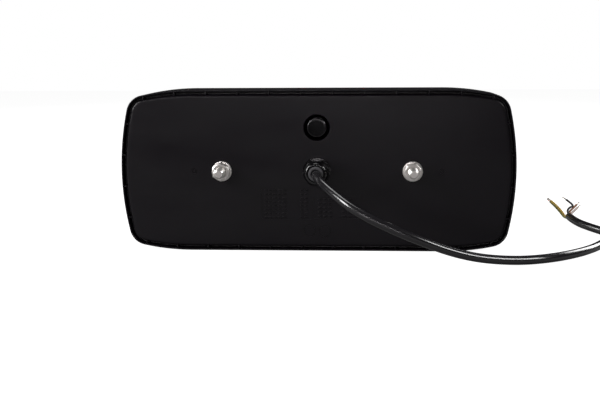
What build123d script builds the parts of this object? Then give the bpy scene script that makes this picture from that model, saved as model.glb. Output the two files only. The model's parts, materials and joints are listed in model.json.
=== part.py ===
"""Trailer rear lamp with two mounting studs, a cable gland and half a metre of cable.

Frame: origin midway between the studs, in the mounting plane at the lamp's back.
+X along the lamp, +Y out through the lens, +Z up.  Millimetres.
"""
from build123d import *
from math import atan2, cos, degrees, hypot, pi, radians, sin, sqrt, tan
import os

os.makedirs("parts", exist_ok=True)

# ---------------------------------------------------------------- driving dimensions
lamp_width = 315.0
lamp_height = 129.0
side_radius = 220.0
shoulder_radius = 190.0
flat_half = 101.0
corner_radius = 15.0
floor_z = -lamp_height / 2

housing_front = 26.5
lens_front = 50.0
plate_thickness = 2.8
plate_chamfer = 0.9
skirt_wall = 1.3
channel_width = 2.6
channel_floor = 8.0
web_front = 12.0
tray_wall = 2.2
tray_inset = skirt_wall + channel_width
cavity_inset = tray_inset + tray_wall
rib_thickness = 1.0
rib_pitch = 25.2
rib_back = 1.0
rib_bite = 0.1

lens_wall = 2.6
lens_edge_radius = 8.0
lens_split_x = 55.0
sealant_front = 13.6
tongue_outer = 1.6
tongue_inner = 3.6

stud_spacing = 152.0
stud_radius = 4.0
stud_length = 20.5
nut_flats = 13.0
nut_height = 6.5
washer_radius = 8.0
washer_thickness = 1.6
running_clearance = 0.08

vent_z = 34.7
vent_recess_radius = 10.7
vent_recess_depth = 4.2
vent_cap_radius = 7.75

gland_flats = 19.0
gland_thread_radius = 8.0
gland_stub_radius = 7.4
cable_radius = 3.5
core_radius = 0.9
conductor_radius = 0.5

board_back = 20.0
board_front = 21.6
bezel_front = 32.0
bezel_plate = 2.0

stud_places = [(-stud_spacing / 2, 0), (stud_spacing / 2, 0)]


# ---------------------------------------------------------------- shapes used again
def at(depth):
    """Sketch plane facing the back of the lamp, at a depth along +Y."""
    return Plane.XZ.offset(-depth)


def lamp_face(inset):
    """The lamp's outline: flat middles, shoulder arcs, side arcs and round corners."""
    half_width = lamp_width / 2 - inset
    half_height = lamp_height / 2 - inset
    side_r = side_radius - inset
    shoulder_r = shoulder_radius - inset
    side_x = half_width - side_r
    shoulder_z = half_height - shoulder_r
    apart_x = flat_half - side_x
    apart_z = shoulder_z
    apart = hypot(apart_x, apart_z)
    along = (side_r**2 - shoulder_r**2 + apart**2) / (2 * apart)
    across = sqrt(side_r**2 - along**2)
    corner_x = side_x + (along * apart_x - across * apart_z) / apart
    corner_z = (along * apart_z + across * apart_x) / apart
    side_angle = degrees(atan2(corner_z, corner_x - side_x))
    shoulder_angle = degrees(atan2(corner_z - shoulder_z, corner_x - flat_half))
    with BuildSketch() as face:
        with BuildLine():
            Line((0, half_height), (flat_half, half_height))
            CenterArc((flat_half, shoulder_z), shoulder_r, shoulder_angle, 90 - shoulder_angle)
            CenterArc((side_x, 0), side_r, 0, side_angle)
            mirror(about=Plane.YZ)
            mirror(about=Plane.XZ)
        make_face()
        corners = face.vertices().filter_by(lambda v: abs(v.X) > flat_half + 1 and abs(v.Y) > 1)
        fillet(corners, max(corner_radius - inset, 2))
    return face.sketch


def slab(inset, back, front):
    """Closed slab of the lamp's outline between two depths."""
    with BuildPart() as block:
        with BuildSketch(at(front)):
            add(lamp_face(inset))
        extrude(amount=front - back)
    return block.part


def ring_slab(outer_inset, inner_inset, back, front):
    """Band that follows the lamp's outline."""
    with BuildPart() as band:
        add(slab(outer_inset, back, front))
        add(slab(inner_inset, back, front), mode=Mode.SUBTRACT)
    return band.part


def bars(radius, back, front, places):
    """Round bars along Y at the given places."""
    with BuildPart() as group:
        with BuildSketch(at(front)):
            with Locations(*places):
                Circle(radius)
        extrude(amount=front - back)
    return group.part


def tube(outer, inner, back, front, places=((0, 0),)):
    """Round tubes along Y at the given places."""
    with BuildPart() as group:
        add(bars(outer, back, front, places))
        add(bars(inner, back, front, places), mode=Mode.SUBTRACT)
    return group.part


def hexes(flats, back, front, places=((0, 0),), turn=0):
    """Hexagonal bars along Y, measured across the flats, flat side up when turn is 0."""
    with BuildPart() as group:
        with BuildSketch(at(front)):
            with Locations(*places):
                RegularPolygon(flats / 2, 6, major_radius=False, rotation=turn)
        extrude(amount=front - back)
    return group.part


def blocks(width, height, back, front, places, corner=0.4):
    """Rounded rectangular blocks at the given places."""
    with BuildPart() as group:
        with BuildSketch(at(front)):
            with Locations(*places):
                RectangleRounded(width, height, corner)
        extrude(amount=front - back)
    return group.part


def turned(profile, place=(0, 0)):
    """Solid turned about an axis along Y from (radius, depth) points."""
    x, z = place
    with BuildPart() as body:
        with BuildSketch(Plane((x, 0, z), x_dir=(1, 0, 0), z_dir=(0, 0, 1))):
            with BuildLine():
                Polyline(*profile, close=True)
            make_face()
        revolve(axis=Axis((x, 0, z), (0, 1, 0)))
    return body.part


def hex_nut(flats, bore, back, front, place=(0, 0), turn=0):
    """Hexagon nut with the corners of both faces turned off at 30 degrees."""
    rim = flats / sqrt(3) + 0.2
    rise = (rim - flats / 2) * tan(radians(30))
    outline = [
        (0, back),
        (flats / 2, back),
        (rim, back + rise),
        (rim, front - rise),
        (flats / 2, front),
        (0, front),
    ]
    with BuildPart() as body:
        add(hexes(flats, back, front, [place], turn))
        add(turned(outline, place), mode=Mode.INTERSECT)
        add(bars(bore, back, front, [place]), mode=Mode.SUBTRACT)
    return body.part


def grid(centre_x, centre_z, step, columns, rows):
    """Places of a regular grid about a centre."""
    return [
        (centre_x + (i - (columns - 1) / 2) * step, centre_z + (j - (rows - 1) / 2) * step)
        for i in range(columns)
        for j in range(rows)
    ]


def wire(points, radius, bend_radii):
    """Round wire of straight runs joined by tangent arcs."""
    with BuildPart() as run:
        with BuildLine() as path:
            FilletPolyline(*points, radius=bend_radii)
        with BuildSketch(Plane(path.line @ 0, z_dir=path.line % 0)):
            Circle(radius)
        sweep()
    return run.part


def keep(name, shape):
    """Label a finished piece and write it out."""
    shape.label = name
    export_step(shape, f"parts/{name}.step")


# ---------------------------------------------------------------- rear housing
rib_columns = [side * (k + 0.5) * rib_pitch for k in range(6) for side in (-1, 1)]
rib_rows = [side * (k + 0.5) * rib_pitch for k in range(2) for side in (-1, 1)]
board_bosses = [(i * x, j * z) for x, z in ((128, 42), (52, 48)) for i in (-1, 1) for j in (-1, 1)]
ejector_marks = [(-98.3, 0), (99.3, 0)]
label_panel = (-24.4, -26.4)
label_size = (40.0, 25.0)
rating_panel = (16.0, -29.5)
rating_size = (38.0, 17.0)
mould_date = (6.5, -48.5)
date_ring = (5.0, 4.5)
ejector_ring = (2.0, 1.2)
panel_depth = 0.3
boss_front = 10.0
stud_boss_radius = 11.0
vent_boss_radius = 13.0
vent_boss_front = 7.0
breathing_radius = 3.0
screw_boss_radius = 3.6
screw_pilot_radius = 1.3
screw_pilot_back = 8.0
head_seat = 4.0
seal_seat_radius = 5.6
hole_clearance = 0.05
lap = 0.5

with BuildPart() as channel_ribs:
    with BuildSketch(at(channel_floor)):
        with Locations(*[(x, 0) for x in rib_columns]):
            Rectangle(rib_thickness, lamp_height)
        with Locations(*[(0, z) for z in rib_rows]):
            Rectangle(lamp_width, rib_thickness)
    extrude(amount=channel_floor - rib_back)
    add(slab(skirt_wall - rib_bite, 0, channel_floor), mode=Mode.INTERSECT)
    add(slab(tray_inset + rib_bite, 0, channel_floor), mode=Mode.SUBTRACT)

with BuildPart() as tray:
    add(slab(tray_inset, 0, housing_front))
    chamfer(tray.faces().sort_by(Axis.Y)[0].edges(), plate_chamfer)

with BuildPart() as rear_housing:
    add(ring_slab(0, skirt_wall, 0, housing_front))
    add(ring_slab(skirt_wall / 2, tray_inset + lap, channel_floor, web_front))
    add(tray.part)
    add(channel_ribs.part)
    add(slab(cavity_inset, plate_thickness, housing_front), mode=Mode.SUBTRACT)
    add(bars(stud_boss_radius, plate_thickness, boss_front, stud_places))
    add(bars(vent_boss_radius, plate_thickness, vent_boss_front, [(0, vent_z)]))
    add(bars(screw_boss_radius, plate_thickness, board_back, board_bosses))
    # stud holes, seal seats and the hexagonal pockets that hold the stud heads
    add(bars(stud_radius + hole_clearance, -1, boss_front, stud_places), mode=Mode.SUBTRACT)
    add(bars(seal_seat_radius, plate_thickness, head_seat, stud_places), mode=Mode.SUBTRACT)
    add(hexes(nut_flats + 4 * hole_clearance, head_seat, boss_front, stud_places), mode=Mode.SUBTRACT)
    # vent recess and breathing hole, gland hole
    add(bars(vent_recess_radius, -1, vent_recess_depth, [(0, vent_z)]), mode=Mode.SUBTRACT)
    add(bars(breathing_radius, 0, vent_boss_front + 1, [(0, vent_z)]), mode=Mode.SUBTRACT)
    gland_hole = bars(gland_thread_radius + 2 * hole_clearance, -1, plate_thickness + 1, [(0, 0)])
    add(gland_hole, mode=Mode.SUBTRACT)
    # screw pilots, faint panels and mould marks
    add(bars(screw_pilot_radius, screw_pilot_back, board_back + 1, board_bosses), mode=Mode.SUBTRACT)
    add(blocks(*label_size, -1, panel_depth, [label_panel], 1), mode=Mode.SUBTRACT)
    add(blocks(*rating_size, -1, panel_depth, [rating_panel], 1), mode=Mode.SUBTRACT)
    add(tube(*date_ring, -1, panel_depth, [mould_date]), mode=Mode.SUBTRACT)
    add(tube(*ejector_ring, -1, 2 * panel_depth, ejector_marks), mode=Mode.SUBTRACT)

# ---------------------------------------------------------------- lens
with BuildPart() as lens_outer:
    add(slab(0, housing_front, lens_front))
    fillet(lens_outer.faces().sort_by(Axis.Y)[-1].edges(), lens_edge_radius)

with BuildPart() as lens_hollow:
    add(slab(lens_wall, housing_front, lens_front - lens_wall))
    fillet(lens_hollow.faces().sort_by(Axis.Y)[-1].edges(), lens_edge_radius - lens_wall)

with BuildPart() as lens_shell:
    add(lens_outer.part)
    add(lens_hollow.part, mode=Mode.SUBTRACT)
    add(ring_slab(tongue_outer, tongue_inner, sealant_front, housing_front + 2))

with BuildPart() as lens_amber:
    add(lens_shell.part)
    split(bisect_by=Plane.YZ.offset(-lens_split_x), keep=Keep.BOTTOM)

with BuildPart() as lens_red:
    add(lens_shell.part)
    split(bisect_by=Plane.YZ.offset(-lens_split_x), keep=Keep.TOP)
    split(bisect_by=Plane.YZ.offset(lens_split_x), keep=Keep.BOTTOM)

with BuildPart() as lens_clear:
    add(lens_shell.part)
    split(bisect_by=Plane.YZ.offset(lens_split_x), keep=Keep.TOP)

with BuildPart() as lens_sealant:
    add(ring_slab(tongue_outer, tongue_inner, web_front, sealant_front))

# ---------------------------------------------------------------- optics
led_step = 19.0
stop_step = 18.0
side_block_x = 100.0
stop_block_z = 24.0
amber_places = grid(-side_block_x, 0, led_step, 4, 3)
stop_places = grid(0, stop_block_z, stop_step, 5, 2)
reverse_places = grid(side_block_x, 0, led_step, 3, 3)
tail_places = [(-146.3, 0), (146.3, 0), (0, 53.3), (0, -53.3)]
amber_block = (80, 61, (-side_block_x, 0))
stop_block = (92, 38, (0, stop_block_z))
reverse_block = (61, 61, (side_block_x, 0))
block_back = 22.4
cup_mouth = 8.2
cup_base = 4.0
guide_outer = 9.2
guide_inner = 13.2
guide_front = 36.0
reflex_place = (0, -24)
reflex_width = 88.0
reflex_height = 34.0
cup_taper = degrees(atan2(cup_mouth - cup_base, bezel_front - block_back))
bezel_inset = 6.6
bezel_skirt = 1.6
tail_hole_radius = 2.6
optic_thickness = 2.0
pillow_radius = 7.2
pillow_rise = 1.2
reflex_thickness = 6.0
guide_peg_radius = 2.2
guide_peg_back = 24.0

with BuildPart() as inner_bezel:
    add(slab(bezel_inset, bezel_front - bezel_plate, bezel_front))
    add(ring_slab(bezel_inset, bezel_inset + bezel_skirt, board_front, bezel_front))
    for width, height, centre in (amber_block, stop_block, reverse_block):
        add(blocks(width, height, block_back, bezel_front, [centre], 3))
    with BuildSketch(at(bezel_front)):
        with Locations(*(amber_places + stop_places + reverse_places)):
            Circle(cup_mouth)
    extrude(amount=bezel_front - block_back, taper=cup_taper, mode=Mode.SUBTRACT)
    add(bars(tail_hole_radius, board_front, bezel_front + 1, tail_places), mode=Mode.SUBTRACT)


def optic(block, places):
    """Clear plate over a block of cups, with a round pillow over each cup."""
    width, height, centre = block
    with BuildPart() as plate:
        plate_front = bezel_front + optic_thickness
        add(blocks(width - 3, height - 3, bezel_front, plate_front, [centre], 2))
        add(bars(pillow_radius, bezel_front + 1, plate_front + pillow_rise, places))
    return plate.part


with BuildPart() as reflex_reflector:
    reflex_front = bezel_front + reflex_thickness
    add(blocks(reflex_width, reflex_height, bezel_front, reflex_front, [reflex_place], 3))

with BuildPart() as tail_light_guide:
    add(ring_slab(guide_outer, guide_inner, bezel_front, guide_front))
    add(bars(guide_peg_radius, guide_peg_back, bezel_front + 1, tail_places))

# ---------------------------------------------------------------- board and electrics
header_x = (38, 46)
plug_x = (28, 38)
chip_places = [(-60, 30), (-30, 34), (70, 32)]
resistor_places = grid(-100, 0, 12, 3, 2)
capacitor_place = (-42, -28)
diode_place = (22, 22)
board_inset = 6.5
board_hole_radius = 1.7
screw_radius = 1.25
screw_back = 10.0
screw_head_radius = 2.8
led_size = 3.5
led_thickness = 1.4


def leds(places):
    """Square LED packages on the board's front."""
    return blocks(led_size, led_size, board_front, board_front + led_thickness, places)


with BuildPart() as circuit_board:
    add(slab(board_inset, board_back, board_front))
    add(bars(board_hole_radius, board_back, board_front, board_bosses), mode=Mode.SUBTRACT)

with BuildPart() as board_screws:
    add(bars(screw_radius, screw_back, board_front + lap, board_bosses))
    add(bars(screw_head_radius, board_front, board_front + 2, board_bosses))

with BuildPart() as board_header:
    add(blocks(header_x[1] - header_x[0], 14, 12, board_back, [(sum(header_x) / 2, 0)]))

with BuildPart() as wire_plug:
    add(blocks(plug_x[1] - plug_x[0], 12, 13.4, 19.4, [(sum(plug_x) / 2, 0)]))

# ---------------------------------------------------------------- studs, washers and nuts
tip_chamfer = 0.9
head_thickness = 5.3
stud_seal_radius = 5.5
left_nut_turn = 30
right_nut_turn = 12

with BuildPart() as mounting_studs:
    add(bars(stud_radius, -stud_length, head_seat, stud_places))
    tips = mounting_studs.edges().group_by(Axis.Y)[0]
    chamfer(tips, tip_chamfer)
    add(hexes(nut_flats, head_seat, head_seat + head_thickness, stud_places))

with BuildPart() as stud_seal_rings:
    add(tube(stud_seal_radius, stud_radius, plate_thickness, head_seat, stud_places))

nut_front = -washer_thickness
nut_back = nut_front - nut_height
nut_bore = stud_radius + running_clearance
washer_bore = stud_radius + 0.2
left_washer = tube(washer_radius, washer_bore, nut_front, 0, [stud_places[0]])
right_washer = tube(washer_radius, washer_bore, nut_front, 0, [stud_places[1]])
left_nut = hex_nut(nut_flats, nut_bore, nut_back, nut_front, stud_places[0], left_nut_turn)
right_nut = hex_nut(nut_flats, nut_bore, nut_back, nut_front, stud_places[1], right_nut_turn)

# ---------------------------------------------------------------- breather vent
vent_place = (0, vent_z)
membrane_radius = 5.0
membrane_thickness = 0.3
vent_cap_back = 0.2
vent_cap_front = 2.6
vent_foot_circle = 7.0
vent_foot_radius = 0.7
vent_seal_radius = 6.2
vent_seal_back = 3.0

with BuildPart() as vent_cap:
    add(bars(vent_cap_radius, vent_cap_back, vent_cap_front, [vent_place]))
    chamfer(vent_cap.faces().sort_by(Axis.Y)[0].edges(), 0.4)
    with BuildSketch(at(vent_recess_depth)):
        with Locations(vent_place):
            with PolarLocations(vent_foot_circle, 3, start_angle=90):
                Circle(vent_foot_radius)
    extrude(amount=vent_recess_depth - vent_cap_front + lap)

with BuildPart() as vent_membrane:
    add(bars(membrane_radius, vent_recess_depth - membrane_thickness, vent_recess_depth, [vent_place]))

with BuildPart() as vent_seal_ring:
    add(tube(vent_seal_radius, membrane_radius, vent_seal_back, vent_recess_depth, [vent_place]))

# ---------------------------------------------------------------- cable gland
gland_flange_radius = 11.2
gland_flange_thickness = 1.4
gasket_radius = 9.3
locknut_flats = 22.0
locknut_height = 5.0
locknut_turn = 10
claw_radius = 7.2
claw_slots = 4
claw_slot_width = 1.0
cap_opening = 6.25
seal_edge = 1.0
gasket_back = -1.0
gland_hex_back = -6.0
stub_back = -13.0
seal_radius = 5.9
seal_front = -3.0
cord_exit = -20.0
claw_back = -15.4
claw_slot_depth = 3.0
pressure_ring_back = -16.2
cap_back = -19.0
cap_front = -6.2
cap_bore = gland_stub_radius + running_clearance
gland_inner_end = 11.0
gland_bore = cable_radius + 0.2
cord_start = -12.0
cord_inner_end = 12.0

with BuildPart() as gland_gasket:
    add(tube(gasket_radius, gland_thread_radius, gasket_back, 0))

with BuildPart() as gland_body:
    add(hex_nut(gland_flats, gland_bore, gland_hex_back, gasket_back))
    flange_back = gasket_back - gland_flange_thickness
    add(tube(gland_flange_radius, gland_bore, flange_back, gasket_back))
    add(tube(gland_thread_radius, gland_bore, gasket_back, gland_inner_end))
    add(tube(gland_stub_radius, gland_bore, stub_back, gland_hex_back))
    add(bars(seal_radius, stub_back, seal_front, [(0, 0)]), mode=Mode.SUBTRACT)

with BuildPart() as gland_locknut:
    locknut_front = plate_thickness + locknut_height
    add(hex_nut(locknut_flats, gland_thread_radius, plate_thickness, locknut_front, turn=locknut_turn))

with BuildPart() as gland_seal:
    add(bars(seal_radius, cord_exit, seal_front, [(0, 0)]))
    fillet(gland_seal.faces().sort_by(Axis.Y)[0].edges(), seal_edge)
    add(bars(cable_radius, cord_exit, seal_front, [(0, 0)]), mode=Mode.SUBTRACT)

with BuildPart() as gland_claw:
    add(tube(claw_radius, seal_radius, claw_back, stub_back))
    with BuildSketch(at(stub_back)):
        with PolarLocations(0, claw_slots):
            Rectangle(3 * claw_radius, claw_slot_width)
    extrude(amount=claw_slot_depth, mode=Mode.SUBTRACT)

with BuildPart() as gland_pressure_ring:
    add(tube(claw_radius + 0.1, seal_radius + running_clearance, pressure_ring_back, claw_back))

dome = [(0, cap_back), (7.4, cap_back), (8.6, cap_back + 1.0), (9.5, cap_back + 5.0), (11.2, cap_back + 6.0)]
dome += [(11.2, cap_front - 0.8), (9.6, cap_front), (0, cap_front)]

with BuildPart() as gland_cap:
    add(hexes(gland_flats, cap_back, cap_front))
    add(turned(dome), mode=Mode.INTERSECT)
    add(bars(cap_bore, pressure_ring_back, cap_front, [(0, 0)]), mode=Mode.SUBTRACT)
    add(bars(cap_opening, cap_back, pressure_ring_back, [(0, 0)]), mode=Mode.SUBTRACT)

# ---------------------------------------------------------------- cable and its cores
cord_route = [
    (0, cord_start, 0),
    (0, -28.5, 0),
    (9, -46, -7.5),
    (33.5, -69, -22.6),
    (72, -75.5, -39.3),
    (112, -64, -55.3),
    (148, -51.5, floor_z + cable_radius),
    (180, -40, floor_z + cable_radius),
    (213, -10, floor_z + cable_radius),
    (236, 28, floor_z + cable_radius),
    (249, 60, floor_z + cable_radius),
    (237, 94, floor_z + cable_radius),
    (230, 123, floor_z + cable_radius),
    (230, 151, floor_z + cable_radius),
]


def bend_radii(points):
    """Largest tangent arc that each corner of a route allows."""
    corners = [Vector(*point) for point in points]
    radii = []
    for before, here, after in zip(corners, corners[1:], corners[2:]):
        run_in = here - before
        run_out = after - here
        turn = radians(run_in.get_angle(run_out))
        radii.append(0.45 * min(run_in.length, run_out.length) / tan(turn / 2))
    return radii


cord_radii = bend_radii(cord_route)
cable_jacket = wire(cord_route, cable_radius, cord_radii)
cord_length = cable_jacket.volume / (pi * cable_radius**2) - (cord_start - cord_exit)
print("cable bends, mm:", [round(r, 1) for r in cord_radii])
print("cable length, mm:", round(cord_length, 1))

with BuildPart() as cable_entry:
    add(bars(cable_radius, cord_start, cord_inner_end, [(0, 0)]))

# core: colour, place round the cable's axis, tip of its insulation from the jacket's end
core_tips = {
    "yellow": (162, (-11.0, 17.0, 8.6)),
    "green": (234, (-12.4, 13.0, 5.2)),
    "black": (90, (-1.6, 13.6, 11.4)),
    "brown": (18, (9.6, 14.4, 5.0)),
    "white": (306, (4.0, 15.2, 1.4)),
}
core_circle = 1.9
bare_length = 6.0
lead_rows = {"yellow": 2.2, "green": -2.2, "black": 4.4, "brown": 0.5, "white": -4.4}
lead_angles = {"yellow": 144, "green": 216, "black": 72, "brown": 0, "white": 288}
lead_radius = 0.8
near_level = 15.4
far_level = 17.5

jacket_end = Vector(*cord_route[-1])
cores = {}
strands = []
inner_leads = {}
for colour, (angle, reach) in core_tips.items():
    around = radians(angle)
    start = jacket_end + Vector(core_circle * cos(around), 0, core_circle * sin(around))
    turn_point = start + Vector(0, 6, 0)
    tip = jacket_end + Vector(*reach)
    heading = (tip - turn_point).normalized()
    route = [start, turn_point, tip]
    cores[colour] = wire(route, core_radius, bend_radii(route))
    with BuildPart() as strand:
        with BuildSketch(Plane(tip, z_dir=heading)):
            Circle(conductor_radius)
        extrude(amount=bare_length)
    strands.append(strand.part)

    around = radians(lead_angles[colour])
    lead_x = core_circle * cos(around)
    lead_z = core_circle * sin(around)
    level = near_level if colour in ("black", "brown", "white") else far_level
    route = [
        (lead_x, cord_inner_end, lead_z),
        (lead_x, level, lead_z),
        (plug_x[0] - 6, level, lead_rows[colour]),
        (plug_x[0], level, lead_rows[colour]),
    ]
    inner_leads[colour] = wire(route, lead_radius, [1.5, 8])

with BuildPart() as conductor_strands:
    for strand in strands:
        add(strand)

# ---------------------------------------------------------------- write every piece
pieces = {
    "rear_housing": rear_housing.part,
    "lens_amber": lens_amber.part,
    "lens_red": lens_red.part,
    "lens_clear": lens_clear.part,
    "lens_sealant": lens_sealant.part,
    "inner_bezel": inner_bezel.part,
    "indicator_optic": optic(amber_block, amber_places),
    "stop_optic": optic(stop_block, stop_places),
    "reverse_optic": optic(reverse_block, reverse_places),
    "reflex_reflector": reflex_reflector.part,
    "tail_light_guide": tail_light_guide.part,
    "circuit_board": circuit_board.part,
    "board_screws": board_screws.part,
    "amber_leds": leds(amber_places),
    "stop_leds": leds(stop_places),
    "reverse_leds": leds(reverse_places),
    "tail_leds": leds(tail_places),
    "board_header": board_header.part,
    "wire_plug": wire_plug.part,
    "regulator_chips": blocks(8, 6, board_back - 2, board_back, chip_places),
    "power_resistors": blocks(6.3, 3.2, board_back - 0.8, board_back, resistor_places),
    "smoothing_capacitor": bars(5, 9.5, board_back, [capacitor_place]),
    "surge_diode": blocks(7, 6, board_back - 2.3, board_back, [diode_place]),
    "mounting_studs": mounting_studs.part,
    "stud_seal_rings": stud_seal_rings.part,
    "left_washer": left_washer,
    "right_washer": right_washer,
    "left_nut": left_nut,
    "right_nut": right_nut,
    "vent_cap": vent_cap.part,
    "vent_membrane": vent_membrane.part,
    "vent_seal_ring": vent_seal_ring.part,
    "gland_gasket": gland_gasket.part,
    "gland_body": gland_body.part,
    "gland_locknut": gland_locknut.part,
    "gland_seal": gland_seal.part,
    "gland_claw": gland_claw.part,
    "gland_pressure_ring": gland_pressure_ring.part,
    "gland_cap": gland_cap.part,
    "cable_jacket": cable_jacket,
    "cable_entry": cable_entry.part,
    "conductor_strands": conductor_strands.part,
}
pieces.update({f"core_{colour}": core for colour, core in cores.items()})
pieces.update({f"inner_lead_{colour}": lead for colour, lead in inner_leads.items()})

for name, shape in pieces.items():
    keep(name, shape)
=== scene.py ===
"""Looks of the trailer rear lamp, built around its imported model.

Metres throughout.  +X along the lamp, +Y out through the lens, +Z up; the studs point along -Y.
"""

import json
from math import atan2, cos, pi, radians, sin, sqrt, tan

import bmesh
import bpy
from mathutils import Matrix, Vector


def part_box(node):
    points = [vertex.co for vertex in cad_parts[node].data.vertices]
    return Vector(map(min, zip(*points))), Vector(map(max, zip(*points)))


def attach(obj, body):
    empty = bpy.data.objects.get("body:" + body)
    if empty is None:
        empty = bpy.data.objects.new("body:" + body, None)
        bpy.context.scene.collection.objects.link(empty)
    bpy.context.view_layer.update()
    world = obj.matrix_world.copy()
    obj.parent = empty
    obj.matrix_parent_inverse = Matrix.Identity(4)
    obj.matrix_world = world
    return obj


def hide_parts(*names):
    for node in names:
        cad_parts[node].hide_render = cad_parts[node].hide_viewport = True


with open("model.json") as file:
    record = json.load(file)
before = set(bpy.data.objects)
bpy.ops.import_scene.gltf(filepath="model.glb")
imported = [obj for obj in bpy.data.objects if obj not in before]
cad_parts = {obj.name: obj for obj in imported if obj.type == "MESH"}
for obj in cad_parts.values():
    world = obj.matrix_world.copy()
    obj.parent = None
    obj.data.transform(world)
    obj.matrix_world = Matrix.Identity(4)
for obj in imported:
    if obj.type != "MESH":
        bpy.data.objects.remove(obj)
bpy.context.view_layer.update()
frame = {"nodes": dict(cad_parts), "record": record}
for plain in list(bpy.data.materials):
    bpy.data.materials.remove(plain)
mm = 0.001

# ---------------------------------------------------------------- sizes taken from the frame
housing_low, housing_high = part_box("rear_housing")
half_width = housing_high.x
half_height = housing_high.z
floor_z = housing_low.z
housing_front = housing_high.y
lens_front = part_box("lens_red")[1].y
lens_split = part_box("lens_red")[1].x
stud_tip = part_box("mounting_studs")[0].y
stud_x = (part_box("left_washer")[0].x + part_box("left_washer")[1].x) / -2
washer_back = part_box("left_washer")[0].y
nut_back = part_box("left_nut")[0].y
cap_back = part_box("gland_cap")[0].y
cap_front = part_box("gland_cap")[1].y
seal_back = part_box("gland_seal")[0].y
vent_low, vent_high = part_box("vent_cap")
vent_z = (vent_low.z + vent_high.z) / 2

# ---------------------------------------------------------------- outline of the lamp
side_radius = 220 * mm
shoulder_radius = 190 * mm
corner_radius = 15 * mm
flat_half = 101 * mm
skirt_wall = 1.3 * mm
channel_width = 2.6 * mm
channel_floor = 8 * mm
plate_round = 1.5 * mm
cavity_inset = 6.1 * mm
plate_thickness = 2.8 * mm
rib_pitch = 25.2 * mm
rib_thickness = 1.0 * mm
web_front = 12 * mm
plate_inset = skirt_wall + channel_width

side_centre = Vector((half_width - side_radius, 0))
shoulder_centre = Vector((flat_half, half_height - shoulder_radius))


def meeting_point(first, first_radius, second, second_radius):
    """Upper right point where two circles in the XZ plane meet."""
    apart = second - first
    along = (first_radius**2 - second_radius**2 + apart.length_squared) / (2 * apart.length)
    across = sqrt(first_radius**2 - along**2)
    heading = apart.normalized()
    return first + heading * along + Vector((-heading.y, heading.x)) * across


corner_centre = meeting_point(
    side_centre, side_radius - corner_radius, shoulder_centre, shoulder_radius - corner_radius
)
shoulder_end = atan2(*(corner_centre - shoulder_centre))
side_start = atan2(*(corner_centre - side_centre))
outline_arcs = [
    (shoulder_centre, shoulder_end, 9),
    (corner_centre, side_start - shoulder_end, 9),
    (side_centre, pi / 2 - side_start, 9),
]


# ---------------------------------------------------------------- mesh helpers
def append(bm, other):
    """Puts another bmesh into bm and returns its edges there."""
    count = len(bm.edges)
    mesh = bpy.data.meshes.new("part")
    other.to_mesh(mesh)
    other.free()
    bm.from_mesh(mesh)
    bpy.data.meshes.remove(mesh)
    bm.edges.ensure_lookup_table()
    return bm.edges[count:]


def joined(*parts):
    """One bmesh that holds all the given ones."""
    bm = bmesh.new()
    for part in parts:
        append(bm, part)
    return bm


def moved(bm, offset):
    bmesh.ops.translate(bm, verts=bm.verts[:], vec=Vector(offset))
    return bm


def lamp_loop(bm, inset, depth):
    """Closed outline, inset from the lamp's edge: one quarter spun arc by arc, then mirrored twice."""
    quarter = bmesh.new()
    tip = quarter.verts.new((0, depth, half_height - inset))
    tip = bmesh.ops.extrude_vert_indiv(quarter, verts=[tip])["verts"][0]
    tip.co.x = flat_half
    for centre, sweep, steps in outline_arcs:
        turned = bmesh.ops.spin(
            quarter, geom=[tip], cent=(centre.x, depth, centre.y), axis=(0, 1, 0), angle=sweep, steps=steps
        )
        tip = [v for v in turned["geom_last"] if isinstance(v, bmesh.types.BMVert)][0]
    for axis in ("X", "Z"):
        geom = quarter.verts[:] + quarter.edges[:]
        bmesh.ops.mirror(quarter, geom=geom, matrix=Matrix(), merge_dist=1e-6, axis=axis)
    return append(bm, quarter)


def slab(inset, back, front):
    """Solid of the lamp's outline between two depths."""
    bm = bmesh.new()
    edges = lamp_loop(bm, inset, back)
    face = bmesh.ops.contextual_create(bm, geom=edges)["faces"][0]
    grown = bmesh.ops.extrude_face_region(bm, geom=[face])["geom"]
    verts = [v for v in grown if isinstance(v, bmesh.types.BMVert)]
    bmesh.ops.translate(bm, verts=verts, vec=(0, front - back, 0))
    bmesh.ops.recalc_face_normals(bm, faces=bm.faces[:])
    return bm


def work_face(bm, side, steps):
    """Works a slab's back (side -1) or front (side 1) inwards through (inset, depth) steps.

    A step with an inset slopes to its depth; a step without one goes straight.  Returns each step's edges.
    """
    face = max((f for f in bm.faces if f.normal.y * side > 0.99), key=lambda f: f.calc_area())
    loops = [face.edges[:]]
    for inset, depth in steps:
        if inset:
            bmesh.ops.inset_region(
                bm, faces=[face], thickness=inset, use_even_offset=True, use_boundary=True
            )
        else:
            grown = bmesh.ops.extrude_face_region(bm, geom=[face])["geom"]
            bmesh.ops.delete(bm, geom=[face], context="FACES_ONLY")
            face = next(g for g in grown if isinstance(g, bmesh.types.BMFace))
        bmesh.ops.translate(bm, verts=face.verts[:], vec=(0, depth, 0))
        loops.append(face.edges[:])
    bm.normal_update()
    return loops


def quarter_round(edge, side, steps=6):
    """Inset and depth steps that round a face's edge."""
    turn = pi / 2 / steps
    return [
        (edge * (cos(k * turn) - cos((k + 1) * turn)), side * edge * (sin((k + 1) * turn) - sin(k * turn)))
        for k in range(steps)
    ]


def soften(bm, edges, width, segments=3):
    bmesh.ops.bevel(
        bm, geom=edges, offset=width, offset_type="OFFSET", segments=segments,
        profile=0.5, affect="EDGES", material=-1, clamp_overlap=True,
    )
    return bm


def soften_sharp(bm, width, angle=30, segments=2):
    """Rounds every edge whose faces meet more sharply than the angle."""
    sharp = [e for e in bm.edges if len(e.link_faces) == 2 and e.calc_face_angle(0) > radians(angle)]
    return soften(bm, sharp, width, segments)


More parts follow.
